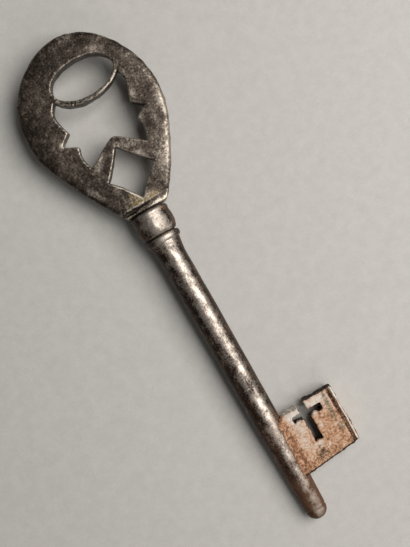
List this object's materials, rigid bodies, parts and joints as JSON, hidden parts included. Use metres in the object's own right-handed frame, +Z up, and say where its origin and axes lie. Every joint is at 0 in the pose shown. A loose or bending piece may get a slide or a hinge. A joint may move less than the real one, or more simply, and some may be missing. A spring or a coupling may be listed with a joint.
{
  "type": "chest key",
  "caption": "Forged iron chest key with a flat pierced bow, a turned collar, a solid tapering shank and a bit with a ward slot and cross arms.",
  "frame": {"origin": "middle of the key's bounding box, at the level of the table under the bulb collar", "axes": "+Y along the shank towards the bow, +X towards the bit, +Z up out of the bow's front face"},
  "size_m": [0.0418, 0.16, 0.012],
  "materials": {
    "wrought_iron": "forged, brown patina with worn bright edges",
    "polished_iron": "hand-polished dark brown patina",
    "rusted_iron": "matt orange-brown rust over grey iron",
    "spelter": "dull brazing brass"
  },
  "bodies": {
    "root": {"bow": "wrought_iron", "bow_braze": "spelter", "bulb_collar": "wrought_iron", "collar_braze": "spelter", "ring_collar": "wrought_iron", "shank": "polished_iron", "bit": "rusted_iron", "bit_braze_front": "spelter", "bit_braze_back": "spelter"}
  },
  "joints": []
}
